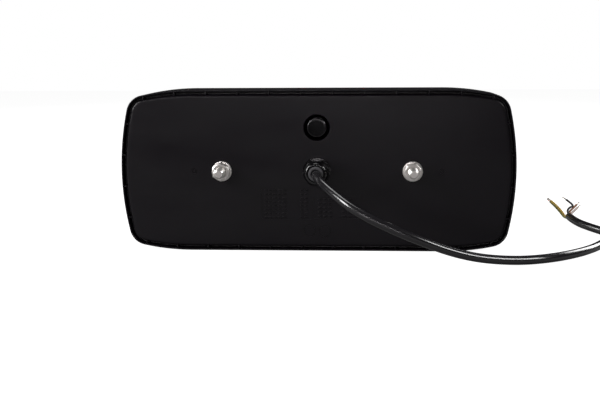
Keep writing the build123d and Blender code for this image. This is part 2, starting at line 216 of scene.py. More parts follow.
def lathe(profile, centre=(0, 0), steps=48):
    """Solid turned about an axis along Y from (radius, depth) points."""
    bm = bmesh.new()
    verts = [bm.verts.new((radius, depth, 0)) for radius, depth in profile]
    edges = [bm.edges.new(pair) for pair in zip(verts, verts[1:])]
    if min(profile[0][0], profile[-1][0]) > 0:
        edges.append(bm.edges.new((verts[-1], verts[0])))
    bmesh.ops.spin(
        bm, geom=verts + edges, cent=(0, 0, 0), axis=(0, 1, 0), angle=2 * pi, steps=steps, use_merge=True
    )
    bmesh.ops.remove_doubles(bm, verts=bm.verts[:], dist=1e-6)
    bmesh.ops.recalc_face_normals(bm, faces=bm.faces[:])
    return moved(bm, (centre[0], 0, centre[1]))


def round_bar(radius, back, front, centre=(0, 0), steps=48):
    """Plain round bar along Y."""
    return lathe([(0, back), (radius, back), (radius, front), (0, front)], centre, steps)


def prism(sides, radius, back, front, centre=(0, 0), turn=0.0):
    """Regular prism along Y; turn is in degrees from a corner on +X."""
    bm = bmesh.new()
    bmesh.ops.create_circle(bm, cap_ends=True, segments=sides, radius=radius)
    first = atan2(bm.verts[:][0].co.y, bm.verts[:][0].co.x)
    bmesh.ops.rotate(bm, verts=bm.verts[:], matrix=Matrix.Rotation(radians(turn) - first, 3, "Z"))
    bmesh.ops.rotate(bm, verts=bm.verts[:], matrix=Matrix.Rotation(pi / 2, 3, "X"))
    moved(bm, (centre[0], back, centre[1]))
    grown = bmesh.ops.extrude_face_region(bm, geom=bm.faces[:])["geom"]
    verts = [v for v in grown if isinstance(v, bmesh.types.BMVert)]
    bmesh.ops.translate(bm, verts=verts, vec=(0, front - back, 0))
    bmesh.ops.recalc_face_normals(bm, faces=bm.faces[:])
    return bm


def block(size, centre, corner=0.0, segments=4):
    """Box, with its edges along Y rounded when corner is given."""
    bm = bmesh.new()
    bmesh.ops.create_cube(bm, size=1)
    bmesh.ops.scale(bm, verts=bm.verts[:], vec=Vector(size))
    if corner:
        along = [e for e in bm.edges if abs(e.verts[0].co.y - e.verts[1].co.y) > size[1] / 2]
        soften(bm, along, corner, segments)
    return moved(bm, centre)


def as_object(bm, name):
    mesh = bpy.data.meshes.new(name)
    bm.to_mesh(mesh)
    bm.free()
    obj = bpy.data.objects.new(name, mesh)
    bpy.context.scene.collection.objects.link(obj)
    return obj


def boolean(body, tool, operation="DIFFERENCE"):
    """The body cut by the tool, or kept where it meets the tool; both bmeshes are used up."""
    body_obj = as_object(body, "body")
    tool_obj = as_object(tool, "tool")
    modifier = body_obj.modifiers.new("cut", "BOOLEAN")
    modifier.operation = operation
    modifier.solver = "EXACT"
    modifier.object = tool_obj
    depsgraph = bpy.context.evaluated_depsgraph_get()
    mesh = bpy.data.meshes.new_from_object(body_obj.evaluated_get(depsgraph))
    result = bmesh.new()
    result.from_mesh(mesh)
    for obj in (body_obj, tool_obj):
        data = obj.data
        bpy.data.objects.remove(obj)
        bpy.data.meshes.remove(data)
    bpy.data.meshes.remove(mesh)
    return result


def piece(name, bm, look, body="lamp", replaces=(), smooth=32):
    """Finished mesh piece: shaded, given its material, and set riding on its body."""
    obj = as_object(bm, name)
    obj.data.shade_smooth()
    obj.data.set_sharp_from_angle(angle=radians(smooth))
    obj.data.materials.append(look)
    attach(obj, body)
    if replaces:
        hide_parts(*replaces)
    return obj


# ---------------------------------------------------------------- shared material effects
def group_socket(group, name, in_out, kind="NodeSocketFloat", value=None):
    socket = group.interface.new_socket(name=name, in_out=in_out, socket_type=kind)
    if value is not None:
        socket.default_value = value


def make_finish_group():
    """Colour drift, roughness drift and fine moulded grain, all on object coordinates."""
    group = bpy.data.node_groups.new("surface_finish", "ShaderNodeTree")
    group_socket(group, "Vector", "INPUT", "NodeSocketVector")
    group_socket(group, "Color", "INPUT", "NodeSocketColor", (0.5, 0.5, 0.5, 1))
    group_socket(group, "Shade", "INPUT", "NodeSocketColor", (0.4, 0.4, 0.4, 1))
    group_socket(group, "Roughness", "INPUT", value=0.4)
    group_socket(group, "Spread", "INPUT", value=0.1)
    group_socket(group, "Grain", "INPUT", value=2500.0)
    group_socket(group, "Drift", "INPUT", value=30.0)
    group_socket(group, "Color", "OUTPUT", "NodeSocketColor")
    group_socket(group, "Roughness", "OUTPUT")
    group_socket(group, "Height", "OUTPUT")
    nodes, links = group.nodes, group.links
    enter = nodes.new("NodeGroupInput")
    leave = nodes.new("NodeGroupOutput")
    drift = nodes.new("ShaderNodeTexNoise")
    drift.inputs["Detail"].default_value = 5
    drift.inputs["Roughness"].default_value = 0.6
    grain = nodes.new("ShaderNodeTexNoise")
    grain.inputs["Detail"].default_value = 3
    grain.inputs["Roughness"].default_value = 0.7
    mix = nodes.new("ShaderNodeMix")
    mix.data_type = "RGBA"
    spread = nodes.new("ShaderNodeMapRange")
    centred = nodes.new("ShaderNodeMath")
    centred.operation = "SUBTRACT"
    scaled = nodes.new("ShaderNodeMath")
    scaled.operation = "MULTIPLY_ADD"
    links.new(enter.outputs["Vector"], drift.inputs["Vector"])
    links.new(enter.outputs["Vector"], grain.inputs["Vector"])
    links.new(enter.outputs["Drift"], drift.inputs["Scale"])
    links.new(enter.outputs["Grain"], grain.inputs["Scale"])
    links.new(drift.outputs["Fac"], spread.inputs["Value"])
    spread.inputs["From Min"].default_value = 0.3
    spread.inputs["From Max"].default_value = 0.7
    links.new(spread.outputs["Result"], mix.inputs["Factor"])
    links.new(enter.outputs["Color"], mix.inputs["A"])
    links.new(enter.outputs["Shade"], mix.inputs["B"])
    links.new(mix.outputs["Result"], leave.inputs["Color"])
    links.new(spread.outputs["Result"], centred.inputs[0])
    centred.inputs[1].default_value = 0.5
    links.new(centred.outputs[0], scaled.inputs[0])
    links.new(enter.outputs["Spread"], scaled.inputs[1])
    links.new(enter.outputs["Roughness"], scaled.inputs[2])
    links.new(scaled.outputs[0], leave.inputs["Roughness"])
    links.new(grain.outputs["Fac"], leave.inputs["Height"])
    return group


finish_group = make_finish_group()


def finish_look(
    name, color, shade, roughness, spread=0.1, grain=2500, drift=30, bump=0.1, depth=0.02 * mm,
    stretch=(1, 1, 1), metallic=0.0, **sockets,
):
    """Principled material with the shared finish effect; sockets set the shader's own values."""
    look = bpy.data.materials.new(name)
    look.use_nodes = True
    nodes, links = look.node_tree.nodes, look.node_tree.links
    shader = nodes["Principled BSDF"]
    place = nodes.new("ShaderNodeTexCoord")
    mapping = nodes.new("ShaderNodeMapping")
    mapping.inputs["Scale"].default_value = stretch
    effect = nodes.new("ShaderNodeGroup")
    effect.node_tree = finish_group
    effect.inputs["Color"].default_value = (*color, 1)
    effect.inputs["Shade"].default_value = (*shade, 1)
    effect.inputs["Roughness"].default_value = roughness
    effect.inputs["Spread"].default_value = spread
    effect.inputs["Grain"].default_value = grain
    effect.inputs["Drift"].default_value = drift
    relief = nodes.new("ShaderNodeBump")
    relief.inputs["Strength"].default_value = bump
    relief.inputs["Distance"].default_value = depth
    links.new(place.outputs["Object"], mapping.inputs["Vector"])
    links.new(mapping.outputs["Vector"], effect.inputs["Vector"])
    links.new(effect.outputs["Color"], shader.inputs["Base Color"])
    links.new(effect.outputs["Roughness"], shader.inputs["Roughness"])
    links.new(effect.outputs["Height"], relief.inputs["Height"])
    links.new(relief.outputs["Normal"], shader.inputs["Normal"])
    shader.inputs["Metallic"].default_value = metallic
    for socket, value in sockets.items():
        shader.inputs[socket.replace("_", " ")].default_value = value
    return look


def clear_look(name, color, shade, roughness=0.04, **sockets):
    """Transparent moulded plastic."""
    return finish_look(
        name, color, shade, roughness, spread=0.03, grain=900, drift=12, bump=0.04, depth=0.01 * mm,
        Transmission_Weight=1.0, IOR=1.49, **sockets,
    )


looks = {
    "housing_plastic": finish_look(
        "housing_plastic", (0.0046, 0.0034, 0.0052), (0.0030, 0.0022, 0.0034), 0.34, 0.14,
        grain=5200, drift=26, bump=0.3, depth=0.02 * mm, stretch=(0.35, 1, 1.5), Specular_IOR_Level=0.32,
    ),
    "vent_plastic": finish_look(
        "vent_plastic", (0.0030, 0.0028, 0.0032), (0.0020, 0.0019, 0.0022), 0.16, 0.08,
        grain=3800, drift=90, bump=0.1, Specular_IOR_Level=0.7,
    ),
    "gland_nylon": finish_look(
        "gland_nylon", (0.0040, 0.0038, 0.0044), (0.0026, 0.0025, 0.0030), 0.14, 0.07,
        grain=1800, drift=120, bump=0.05, Specular_IOR_Level=0.8,
    ),
    "gland_rubber": finish_look(
        "gland_rubber", (0.075, 0.073, 0.078), (0.050, 0.049, 0.053), 0.62, 0.12, grain=3000, drift=260,
        bump=0.3,
    ),
    "seal_rubber": finish_look("seal_rubber", (0.02, 0.02, 0.02), (0.012, 0.012, 0.012), 0.6),
    "sealant": finish_look("sealant", (0.05, 0.05, 0.05), (0.03, 0.03, 0.03), 0.5),
    "stud_steel": finish_look(
        "stud_steel", (0.92, 0.89, 0.85), (0.78, 0.75, 0.71), 0.36, 0.14, grain=2600, drift=420,
        bump=0.10, metallic=1.0,
    ),
    "screw_steel": finish_look(
        "screw_steel", (0.70, 0.70, 0.70), (0.55, 0.55, 0.55), 0.3, 0.1, drift=300, metallic=1.0
    ),
    "cable_pvc": finish_look(
        "cable_pvc", (0.0150, 0.0142, 0.0160), (0.0120, 0.0112, 0.0128), 0.20, 0.08, grain=1500,
        drift=160, bump=0.06, depth=0.03 * mm, Specular_IOR_Level=0.8,
    ),
    "copper": finish_look(
        "copper", (0.80, 0.62, 0.45), (0.70, 0.66, 0.60), 0.28, 0.1, drift=900, metallic=1.0
    ),
    "core_yellow": finish_look("core_yellow", (0.66, 0.46, 0.10), (0.54, 0.40, 0.11), 0.38, drift=300),
    "core_green": finish_look("core_green", (0.30, 0.29, 0.09), (0.20, 0.22, 0.08), 0.38, drift=300),
    "core_black": finish_look("core_black", (0.014, 0.014, 0.015), (0.009, 0.009, 0.010), 0.36, drift=300),
    "core_brown": finish_look("core_brown", (0.42, 0.21, 0.11), (0.32, 0.15, 0.08), 0.38, drift=300),
    "core_white": finish_look("core_white", (0.82, 0.70, 0.65), (0.74, 0.60, 0.54), 0.38, drift=300),
    "metallised_plastic": finish_look(
        "metallised_plastic", (0.90, 0.90, 0.92), (0.84, 0.84, 0.87), 0.14, 0.06, grain=700, drift=40,
        bump=0.05, metallic=1.0,
    ),
    "board": finish_look("board", (0.80, 0.81, 0.78), (0.72, 0.74, 0.70), 0.35, drift=60),
    "led_package": finish_look("led_package", (0.86, 0.78, 0.42), (0.80, 0.70, 0.34), 0.3, drift=500),
    "connector_plastic": finish_look(
        "connector_plastic", (0.82, 0.80, 0.72), (0.76, 0.74, 0.66), 0.4, drift=200
    ),
    "chip_plastic": finish_look("chip_plastic", (0.02, 0.02, 0.02), (0.012, 0.012, 0.012), 0.45),
    "capacitor_can": finish_look(
        "capacitor_can", (0.72, 0.73, 0.75), (0.62, 0.63, 0.65), 0.25, drift=200, metallic=1.0
    ),
    "membrane": finish_look("membrane", (0.8, 0.8, 0.8), (0.72, 0.72, 0.72), 0.7),
    "lens_red": clear_look("lens_red", (0.86, 0.030, 0.022), (0.82, 0.022, 0.018)),
    "lens_amber": clear_look("lens_amber", (1.0, 0.36, 0.025), (0.98, 0.32, 0.02)),
    "lens_clear": clear_look("lens_clear", (0.97, 0.98, 0.98), (0.95, 0.96, 0.97)),
    "optic_clear": clear_look("optic_clear", (0.97, 0.97, 0.97), (0.95, 0.95, 0.95), 0.10),
    "reflex_red": finish_look(
        "reflex_red", (0.55, 0.012, 0.010), (0.42, 0.008, 0.008), 0.08, 0.05, drift=200, Coat_Weight=0.6
    ),
    "guide_red": finish_look(
        "guide_red", (0.80, 0.10, 0.08), (0.72, 0.07, 0.06), 0.35, 0.08, drift=90,
    ),
}

# ---------------------------------------------------------------- camera
camera_place = Vector((0.0364, -0.8002, 0.0987))
camera_yaw = -0.0623
camera_pitch = -0.1509
camera_roll = -0.0059
camera_lens = 60.79


def make_camera():
    forward = Vector(
        (sin(camera_yaw) * cos(camera_pitch), cos(camera_yaw) * cos(camera_pitch), sin(camera_pitch))
    )
    right = forward.cross(Vector((0, 0, 1))).normalized()
    up = right.cross(forward)
    turned_right = right * cos(camera_roll) + up * sin(camera_roll)
    turned_up = up * cos(camera_roll) - right * sin(camera_roll)
    data = bpy.data.cameras.new("camera")
    data.lens = camera_lens
    data.sensor_width = 36
    camera = bpy.data.objects.new("camera", data)
    bpy.context.scene.collection.objects.link(camera)
    turn = Matrix((turned_right, turned_up, -forward)).transposed()
    camera.matrix_world = Matrix.Translation(camera_place) @ turn.to_4x4()
    bpy.context.scene.camera = camera


# ---------------------------------------------------------------- cable and its stripped cores
cable_radius = 3.5 * mm
resting_z = floor_z + cable_radius
cable_route = [
    (0, -0.012, 0),
    (0, -0.0285, 0),
    (0.009, -0.046, -0.0075),
    (0.0335, -0.069, -0.0226),
    (0.072, -0.0755, -0.0393),
    (0.112, -0.064, -0.0553),
    (0.148, -0.0515, resting_z),
    (0.180, -0.040, resting_z),
    (0.213, -0.010, resting_z),
    (0.236, 0.028, resting_z),
    (0.249, 0.060, resting_z),
    (0.237, 0.094, resting_z),
    (0.230, 0.123, resting_z),
    (0.230, 0.151, resting_z),
]
core_radius = 1.0 * mm
core_bite = 1.5 * mm
bare_length = 5 * mm
strand_radius = 0.21 * mm
strand_pitch = 0.40 * mm
strand_bite = 0.5 * mm
strand_twist = radians(80)
strand_taper = 0.45
core_routes = {
    "yellow": [(-1.1, 0, 0.7), (-3.0, 4, -0.4), (-5.0, 6.5, 3.0), (-10.0, 10, 8.8), (-15.2, 13, 13.2)],
    "green": [
        (-0.7, 0, -1.3), (-3.4, 4.4, -1.8), (-5.9, 7.4, 1.6), (-10.6, 11.2, 7.4), (-15.4, 14.2, 11.8),
    ],
    "black": [
        (0.4, 0, 1.7), (-1.6, 3, 4.6), (1.0, 5, 7.8), (5.2, 7, 8.9), (2.4, 8.4, 12.0), (-1.4, 10, 14.6),
    ],
    "brown": [(1.8, 0, 0.3), (0.4, 3, 3.8), (3.6, 6, 6.0), (8.4, 9.6, 9.6)],
    "white": [(1.0, 0, -1.4), (0.8, 2.4, 1.4), (4.2, 5.0, 3.2), (9.0, 8.0, 7.0)],
}


def nurbs_cord(name, points, radius, look, sides=8):
    """Round cord on one smooth spline with the points as its control points."""
    curve = bpy.data.curves.new(name, "CURVE")
    curve.dimensions = "3D"
    curve.bevel_depth = radius
    curve.bevel_resolution = sides
    curve.resolution_u = 14
    curve.use_fill_caps = True
    spline = curve.splines.new("NURBS")
    spline.points.add(len(points) - 1)
    for point, place in zip(spline.points, points):
        point.co = (*place, 1)
    spline.order_u = 3
    spline.use_endpoint_u = True
    obj = bpy.data.objects.new(name, curve)
    bpy.context.scene.collection.objects.link(obj)
    curve.materials.append(look)
    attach(obj, "lamp")
    return obj


def make_strand_bundle(tips):
    """Seven fine wires, six laid round one, out of each core's end."""
    bundle = bmesh.new()
    for tip, heading in tips:
        turn = heading.to_track_quat("Z", "Y").to_matrix().to_4x4()
        places = [(0, 0)] + [
            (strand_pitch * cos(k * pi / 3), strand_pitch * sin(k * pi / 3)) for k in range(6)
        ]
        for k, (across, along) in enumerate(places):
            wire = bmesh.new()
            length = bare_length * (1 - 0.05 * (k % 3))
            bmesh.ops.create_cone(
                wire, cap_ends=True, segments=8, radius1=strand_radius, radius2=strand_radius, depth=length,
                matrix=Matrix.Translation((across, along, length / 2 - strand_bite)),
            )
            bmesh.ops.subdivide_edges(
                wire, edges=[e for e in wire.edges if abs(e.verts[0].co.z - e.verts[1].co.z) > length / 2],
                cuts=6,
            )
            for vert in wire.verts:
                share = vert.co.z / bare_length
                vert.co = Matrix.Rotation(strand_twist * share, 3, "Z") @ vert.co
                vert.co.x *= 1 - strand_taper * share
                vert.co.y *= 1 - strand_taper * share
            bmesh.ops.transform(wire, matrix=Matrix.Translation(tip) @ turn, verts=wire.verts[:])
            append(bundle, wire)
    return piece("stripped_strands", bundle, looks["copper"], replaces=["conductor_strands"])


def make_cable():
    jacket = nurbs_cord("cable_jacket_smooth", cable_route, cable_radius, looks["cable_pvc"])
    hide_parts("cable_jacket")
    jacket_end = Vector(cable_route[-1])
    tips = []
    for colour, route in core_routes.items():
        points = [jacket_end + Vector(point) * mm for point in route]
        points.insert(0, points[0] - Vector((0, core_bite, 0)))
        core = nurbs_cord(f"core_{colour}_smooth", points, core_radius, looks[f"core_{colour}"], 5)
        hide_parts(f"core_{colour}")
        tips.append((points[-1], (points[-1] - points[-2]).normalized()))
    strands = make_strand_bundle(tips)


# ---------------------------------------------------------------- housing
vent_recess_radius = 10.3 * mm
vent_recess_depth = 4.2 * mm
vent_seat_radius = 7.9 * mm
vent_groove_depth = 13 * mm
vent_groove_vee = 3.6 * mm
vent_boss_radius = 13 * mm
vent_boss_front = 15 * mm
vent_boss_back = 1 * mm
vent_bore = 3 * mm
rim_break = 0.7 * mm
gland_hole_radius = 8.1 * mm
stud_hole_radius = 4.05 * mm
hole_depth = 4 * mm
hole_break = 0.3 * mm
moulded_edge = 0.5 * mm
panel_depth = 0.45 * mm
mark_height = 0.42 * mm
mark_share = 0.5
mark_edge = 0.16 * mm
mark_corner = 0.2 * mm
mark_bite = 0.02 * mm
label_panel = ((-24.4, -26.4), (40.0, 25.0))
rating_panel = ((16.0, -29.5), (38.0, 17.0))
label_rows = 8
label_columns = [
    (0.06, 0.12), (0.14, 0.20), (0.22, 0.30), (0.33, 0.38), (0.41, 0.50), (0.78, 0.83), (0.86, 0.92),
]
rating_rows = 5
rating_columns = [(0.10, 0.18), (0.21, 0.28), (0.32, 0.40), (0.60, 0.68), (0.72, 0.84)]
date_places = [(-5.5 * mm, -47.8 * mm), (6.5 * mm, -48.5 * mm)]
date_ring_outer = 5.0 * mm
date_ring_inner = 4.1 * mm
ejector_places = [(-98.3 * mm, 0), (99.3 * mm, 0)]
ejector_ring_outer = 2.2 * mm
ejector_ring_inner = 1.2 * mm
tongue_outer = 1.6 * mm


def flared_cutter(radius, depth, flare, centre):
    """Round cutter whose mouth rounds the plate's edge over."""
    reach = 1 * mm
    bend = [radians(angle) for angle in (45, 60, 75, 90)]
    mouth = [(radius + flare * (1 - sin(angle)), flare * (1 - cos(angle))) for angle in bend]
    lip = mouth[0][0] + mouth[0][1]
    profile = [(0, -reach), (lip + reach, -reach), *mouth, (radius, depth), (0, depth)]
    return lathe(profile, centre, 96)


def ring_cutter(outer, inner, depth, centre, vee=0.0):
    """Ring-shaped cutter; vee is how far its middle runs deeper than its sides."""
    profile = [(inner, -1 * mm), (outer, -1 * mm), (outer, depth - vee), (inner, depth - vee)]
    if vee:
        profile.insert(3, ((outer + inner) / 2, depth))
    return lathe(profile, centre, 48)


def panel_cutter(centre, size):
    """Shallow rounded panel's cutter; its centre and size are in millimetres."""
    return block(
        (size[0] * mm, 2 * panel_depth, size[1] * mm), (centre[0] * mm, 0, centre[1] * mm), corner=1 * mm
    )


def make_panel_marks(panel, rows, columns):
    """Rows of plain raised bars in a panel; columns give each bar's start and end as shares of its width."""
    centre, size = panel
    marks = bmesh.new()
    for row in range(rows):
        z = centre[1] + size[1] * ((row + 0.5) / rows - 0.5)
        for start, end in columns:
            x = centre[0] + size[0] * ((start + end) / 2 - 0.5)
            bar = block(
                (size[0] * (end - start) * mm, mark_height, size[1] * mark_share / rows * mm),
                (x * mm, panel_depth - mark_height / 2 + mark_bite, z * mm), corner=mark_corner, segments=2,
            )
            append(marks, soften_sharp(bar, mark_edge))
    return marks


def make_channel_ribs():
    """Thin webs across the channel between the skirt and the tray."""
    rib_back = 0.4 * mm
    rounding = 0.42 * mm
    bite = 0.1 * mm
    depth = 2 * channel_floor
    upright = (rib_thickness, depth, half_height)
    level = (half_height / 3, depth, rib_thickness)
    bars = bmesh.new()
    for side in (-1, 1):
        for k in range(6):
            x = side * (k + 0.5) * rib_pitch
            for end in (-1, 1):
                append(bars, block(upright, (x, channel_floor, end * half_height)))
        for k in range(2):
            z = side * (k + 0.5) * rib_pitch
            for end in (-1, 1):
                append(bars, block(level, (end * half_width, channel_floor, z)))
    ribs = boolean(bars, slab(skirt_wall - bite, rib_back, channel_floor + bite), "INTERSECT")
    ribs = boolean(ribs, slab(plate_inset + bite, 0, 2 * channel_floor))
    edges = [e for e in ribs.edges if all(v.co.y < rib_back + 0.01 * mm for v in e.verts)]
    return soften(ribs, edges, rounding, 4)


def make_housing():
    """Tray, drip channel and skirt in one moulding, with its vent well, panels and mould marks."""
    shell = slab(0, 0, housing_front)
    rim_rise = channel_floor - plate_round
    back_loops = work_face(
        shell, -1,
        [
            (skirt_wall, 0),
            (0, channel_floor),
            (channel_width, 0),
            (0, -rim_rise),
            *[(inset, -rise) for inset, rise in quarter_round(plate_round, 1)],
            (plate_round, 0),
        ],
    )
    work_face(
        shell, 1,
        [
            (skirt_wall, 0),
            (0, web_front - housing_front),
            (channel_width, 0),
            (0, housing_front - web_front),
            (cavity_inset - plate_inset, 0),
            (0, plate_thickness - housing_front),
        ],
    )
    outer_rim, inner_rim, channel_outer, channel_inner = back_loops[:4]
    soften(shell, outer_rim + inner_rim, moulded_edge, 4)
    soften(shell, channel_outer + channel_inner, moulded_edge, 2)
    boss = round_bar(vent_boss_radius, vent_boss_back, vent_boss_front, (0, vent_z), 64)
    shell = boolean(shell, boss, "UNION")
    shell = boolean(shell, joined(
        flared_cutter(vent_recess_radius, vent_recess_depth, rim_break, (0, vent_z)),
        flared_cutter(gland_hole_radius, hole_depth, hole_break, (0, 0)),
        flared_cutter(stud_hole_radius, hole_depth, hole_break, (stud_x, 0)),
        flared_cutter(stud_hole_radius, hole_depth, hole_break, (-stud_x, 0)),
        *[ring_cutter(date_ring_outer, date_ring_inner, panel_depth, place) for place in date_places],
        *[
            ring_cutter(ejector_ring_outer, ejector_ring_inner, 2 * panel_depth, place)
            for place in ejector_places
        ],
    ))
    groove = ring_cutter(
        vent_recess_radius, vent_seat_radius, vent_groove_depth, (0, vent_z), vent_groove_vee
    )
    shell = boolean(shell, groove)
    for panel in (label_panel, rating_panel):
        shell = boolean(shell, panel_cutter(*panel))
    shell = boolean(shell, round_bar(vent_bore, 0, vent_boss_front + 1 * mm, (0, vent_z), 32))
    append(shell, make_channel_ribs())
    append(shell, make_panel_marks(label_panel, label_rows, label_columns))
    append(shell, make_panel_marks(rating_panel, rating_rows, rating_columns))
    return piece(
        "housing_moulding", shell, looks["housing_plastic"], replaces=["rear_housing"], smooth=35
    )


# ---------------------------------------------------------------- studs, washers and nuts
stud_radius = 4 * mm
thread_pitch = 1.25 * mm
thread_depth = 0.68 * mm
nut_flats = 13 * mm
nut_turns = {"left": 30, "right": 12}
stud_front = 1 * mm
shank_back = 0.5 * mm
shank_front = 4.2 * mm
stud_head_back = 4 * mm
stud_head_front = 9.3 * mm


def threaded_rod(radius, pitch, depth, back, front, centre=(0, 0), steps=32):
    """Closed rod with a real helical thread, a little longer than asked at both ends."""
    bm = bmesh.new()
    start = back - pitch
    turns = int((front - back) / pitch) + 3
    root = radius - depth
    profile = [(root, 0.0), (root, 0.12), (radius, 0.44), (radius, 0.56), (root, 0.88), (root, 1.0)]
    verts = [bm.verts.new((r, start + share * pitch, 0)) for r, share in profile]
    edges = [bm.edges.new(pair) for pair in zip(verts, verts[1:])]
    bmesh.ops.spin(
        bm, geom=verts + edges, cent=(0, 0, 0), axis=(0, 1, 0), dvec=(0, pitch / steps, 0),
        angle=2 * pi * turns, steps=steps * turns,
    )
    bmesh.ops.remove_doubles(bm, verts=bm.verts[:], dist=1e-6)
    open_edges = [e for e in bm.edges if e.is_boundary]
    middle = (back + front) / 2
    for end in (-1, 1):
        rim = [e for e in open_edges if (e.verts[0].co.y - middle) * end > 0]
        bmesh.ops.contextual_create(bm, geom=rim)
    bmesh.ops.recalc_face_normals(bm, faces=bm.faces[:])
    return moved(bm, (centre[0], 0, centre[1]))


def make_studs():
    tip_chamfer = 1.1 * mm
    both = bmesh.new()
    for side in (-1, 1):
        centre = (side * stud_x, 0)
        rod = threaded_rod(stud_radius, thread_pitch, thread_depth, stud_tip, stud_front, centre)
        blank = lathe(
            [
                (0, stud_tip),
                (stud_radius - tip_chamfer - 0.15 * mm, stud_tip),
                (stud_radius - tip_chamfer, stud_tip + 0.08 * mm),
                (stud_radius + 0.1 * mm, stud_tip + tip_chamfer + 0.1 * mm),
                (stud_radius + 0.1 * mm, stud_front),
                (0, stud_front),
            ],
            centre, 64,
        )
        append(both, boolean(rod, blank, "INTERSECT"))
        append(both, round_bar(stud_radius, shank_back, shank_front, centre, 48))
        head = prism(6, nut_flats / sqrt(3), stud_head_back, stud_head_front, centre, 30)
        append(both, soften_sharp(head, 0.3 * mm))
    return piece("threaded_studs", both, looks["stud_steel"], replaces=["mounting_studs"], smooth=28)


def make_nut(side, centre_x):
    """Hexagon nut, both faces turned down to the flats at 30 degrees, with a countersunk bore."""
    back, front = nut_back, washer_back
    rim = nut_flats / sqrt(3) + 0.2 * mm
    face = nut_flats / 2 - 0.15 * mm
    rise = (rim - face) * tan(radians(30))
    centre = (centre_x, 0)
    blank = prism(6, nut_flats / sqrt(3), back, front, centre, nut_turns[side])
    turned = lathe(
        [(0, back), (face, back), (rim, back + rise), (rim, front - rise), (face, front), (0, front)],
        centre, 96,
    )
    bore = stud_radius + 0.08 * mm
    sink = 0.45 * mm
    hole = lathe(
        [
            (0, back - 1 * mm),
            (bore + sink + 1 * mm, back - 1 * mm),
            (bore, back + sink),
            (bore, front - sink),
            (bore + sink + 1 * mm, front + 1 * mm),
            (0, front + 1 * mm),
        ],
        centre, 64,
    )
    nut = boolean(boolean(blank, turned, "INTERSECT"), hole)
    bmesh.ops.remove_doubles(nut, verts=nut.verts[:], dist=2e-6)
    piece(
        f"{side}_hex_nut", nut, looks["stud_steel"], body=f"{side}_nut", replaces=[f"{side}_nut"], smooth=24
    )


def make_washer(side, centre_x):
    low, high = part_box(f"{side}_washer")
    outer = (high.x - low.x) / 2
    bore = 4.2 * mm
    back, front = low.y, high.y
    edge = 0.3 * mm
    profile = [
        (bore, back + edge / 2),
        (bore + edge / 2, back),
        (outer - edge, back),
        (outer - edge * 0.3, back + edge * 0.3),
        (outer, back + edge),
        (outer, front - edge / 2),
        (outer - edge / 2, front),
        (bore, front),
    ]
    piece(
        f"{side}_plain_washer", lathe(profile, (centre_x, 0), 72), looks["stud_steel"],
        body=f"{side}_washer", replaces=[f"{side}_washer"], smooth=40,
    )


# ---------------------------------------------------------------- breather vent
def make_vent():
    """Round cap on three feet over the breathing hole, with a shallow ring in its face."""
    radius = (vent_high.x - vent_low.x) / 2
    back = vent_low.y
    edge = 0.9 * mm
    cap_depth = 2.4 * mm
    ring = radius * 0.62
    ring_depth = 0.25 * mm
    rounding = [
        (radius - edge * (1 - sin(k * pi / 12)), back + edge * (1 - cos(k * pi / 12))) for k in range(7)
    ]
    profile = [
        (0, back), (ring - 0.7 * mm, back), (ring - 0.5 * mm, back + ring_depth),
        (ring + 0.1 * mm, back + ring_depth), (ring + 0.3 * mm, back),
        *rounding, (radius, back + cap_depth - 0.2 * mm), (radius - 0.3 * mm, back + cap_depth),
        (0, back + cap_depth),
    ]
    cap = lathe(profile, (0, vent_z), 72)
    foot_circle = 7.0 * mm
    foot_radius = 0.7 * mm
    for k in range(3):
        angle = radians(90 + 120 * k)
        place = (foot_circle * cos(angle), vent_z + foot_circle * sin(angle))
        append(cap, round_bar(foot_radius, back + 2 * mm, vent_high.y, place, 20))
    piece("vent_dome", cap, looks["vent_plastic"], replaces=["vent_cap"], smooth=30)


# ---------------------------------------------------------------- cable gland
gland_flats = 19 * mm
gland_bore = cable_radius + 0.2 * mm
seal_radius = 5.9 * mm
seal_front = -3 * mm
flange_radius = 11.2 * mm
flange_back = -2.4 * mm
flange_front = -1 * mm
hexagon_back = -6 * mm
hexagon_front = -1.2 * mm
stub_radius = 7.4 * mm
stub_back = -13 * mm
stub_front = -5.5 * mm
gland_thread_radius = 8 * mm
gland_thread_pitch = 1.5 * mm
gland_thread_depth = 0.7 * mm
gland_thread_back = -1.1 * mm
gland_thread_front = 11 * mm
dome_profile = [(7.3, 0), (7.9, 0.2), (8.4, 0.7), (8.9, 2.0), (9.5, 4.4), (10.4, 5.6), (11.2, 6.2)]


